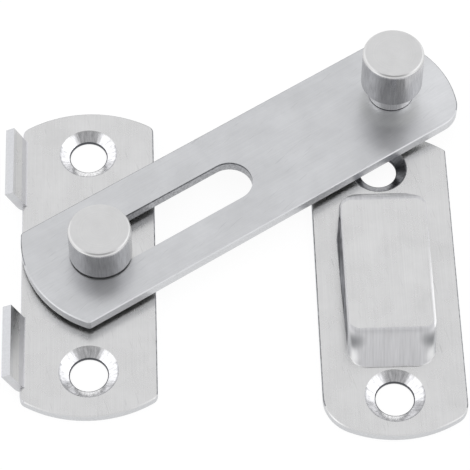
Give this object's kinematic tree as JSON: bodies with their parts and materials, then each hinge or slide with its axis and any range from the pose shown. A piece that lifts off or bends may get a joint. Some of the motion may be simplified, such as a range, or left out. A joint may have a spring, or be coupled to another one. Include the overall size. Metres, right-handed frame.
{
  "type": "flip latch",
  "caption": "Steel flip latch: a slotted bar with a pull knob turns and slides on a headed stud, and its end passes under the bridge of a separate keeper.",
  "frame": {"origin": "midway between the base plate's two screw holes, on its back face", "axes": "+Z out of the mounting face, +Y along the base plate, +X from the base plate to the keeper"},
  "size_m": [0.0694, 0.0703, 0.014],
  "materials": {
    "plate_steel": "satin, brushed along the plate",
    "bar_steel": "satin, brushed along the bar",
    "turned_steel": "turned, satin"
  },
  "bodies": {
    "base": {"base_plate": "plate_steel", "pivot_stud": "turned_steel", "keeper_plate": "plate_steel"},
    "pivot": {"spacer_washer": "plate_steel"},
    "bar": {"latch_bar": "bar_steel", "pull_knob": "turned_steel"}
  },
  "joints": [
    {"name": "bar_turn", "type": "hinge", "parent": "base", "child": "pivot", "pos_m": [0.00195, -0.0005, 0.0014], "axis": [0, 0, 1], "range_deg": [-2.4, 62]},
    {"name": "bar_slide", "type": "slide", "parent": "pivot", "child": "bar", "axis": [0.8462, 0.5329, 0], "range_m": [-0.0036, 0.0006]}
  ]
}
